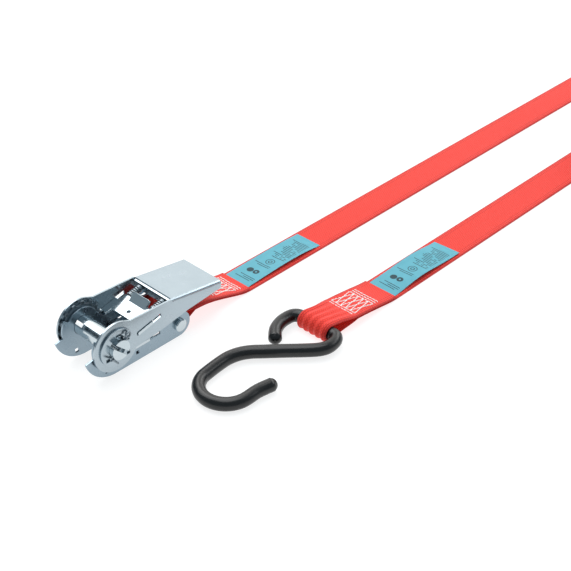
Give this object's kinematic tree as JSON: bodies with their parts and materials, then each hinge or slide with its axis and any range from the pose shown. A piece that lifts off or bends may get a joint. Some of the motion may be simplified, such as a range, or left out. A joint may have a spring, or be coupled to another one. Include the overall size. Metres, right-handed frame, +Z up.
{
  "type": "ratchet tie down",
  "caption": "Two-part lashing strap: a short-lever ratchet with its sewn strap and hook, and a loose hooked strap with its spare length rolled up.",
  "frame": {"origin": "centre of the ratchet base frame's rest face, on the ground", "axes": "+X from the spool towards the fixed strap, +Z up, the loose strap lies on the -Y side"},
  "size_m": [0.6731, 0.114, 0.0824],
  "materials": {
    "zinc_plate": "bright zinc plated, satin",
    "bare_steel": "dull zinc plated",
    "webbing": "woven polyester webbing, fluorescent red",
    "thread": "polyester sewing thread",
    "label": null,
    "vinyl_coat": "dipped vinyl, satin black",
    "band_rubber": "matt rubber"
  },
  "bodies": {
    "base": {"base_frame": "zinc_plate", "strap_bolt": "zinc_plate", "bolt_sleeve": "bare_steel", "bolt_nut": "zinc_plate", "lock_springs": "bare_steel"},
    "lock_pawl": {"lock_pawl": "zinc_plate"},
    "handle": {"handle": "zinc_plate", "drive_springs": "bare_steel", "spring_bracket": "zinc_plate"},
    "drive_pawl": {"drive_pawl": "zinc_plate"},
    "spool": {"spool_half_upper": "zinc_plate", "spool_half_lower": "zinc_plate", "ratchet_wheel_near": "bare_steel", "ratchet_wheel_far": "bare_steel", "end_washer_near": "zinc_plate", "end_washer_far": "zinc_plate", "cotter_pin_near": "bare_steel", "cotter_pin_far": "bare_steel"},
    "fixed_strap": {"fixed_strap": "webbing", "fixed_strap_stitching": "thread", "fixed_strap_label": "label", "anchor_stitching": "thread"},
    "anchor_hook": {"anchor_hook_core": "bare_steel", "anchor_hook_coating": "vinyl_coat"},
    "loose_strap": {"loose_strap": "webbing", "loose_strap_stitching": "thread", "loose_strap_label": "label", "strap_roll": "webbing", "roll_band": "band_rubber"},
    "loose_hook": {"loose_hook_core": "bare_steel", "loose_hook_coating": "vinyl_coat"}
  },
  "joints": [
    {"name": "handle_hinge", "type": "hinge", "parent": "base", "child": "handle", "pos_m": [-0.024, 0, 0.0198], "axis": [0, -1, 0], "range_deg": [0, 170]},
    {"name": "spool_spin", "type": "hinge", "parent": "base", "child": "spool", "pos_m": [-0.024, 0, 0.0198], "axis": [0, -1, 0], "continuous": true},
    {"name": "drive_pawl_slide", "type": "slide", "parent": "handle", "child": "drive_pawl", "axis": [0.9751, 0, 0.2215], "range_m": [0, 0.004], "stiffness_N_per_m": 200, "springref_m": -0.004, "deforming": ["drive_springs"]},
    {"name": "lock_pawl_slide", "type": "slide", "parent": "base", "child": "lock_pawl", "axis": [1, 0, 0], "range_m": [0, 0.004], "stiffness_N_per_m": 200, "springref_m": -0.004, "deforming": ["lock_springs"]},
    {"name": "fixed_strap_pivot", "type": "hinge", "parent": "base", "child": "fixed_strap", "pos_m": [0.0235, 0, 0.0083], "axis": [0, -1, 0], "range_deg": [0, 12]},
    {"name": "anchor_hook_hinge", "type": "hinge", "parent": "fixed_strap", "child": "anchor_hook", "pos_m": [0.5375, 0, 0.00552], "axis": [0, -1, 0], "range_deg": [0, 100]},
    {"name": "loose_strap_slide", "type": "slide", "parent": "base", "child": "loose_strap", "axis": [1, 0, 0], "range_m": [0, 0.1]},
    {"name": "loose_hook_hinge", "type": "hinge", "parent": "loose_strap", "child": "loose_hook", "pos_m": [0.0805, -0.07, 0.00552], "axis": [0, 1, 0], "range_deg": [0, 100]}
  ]
}
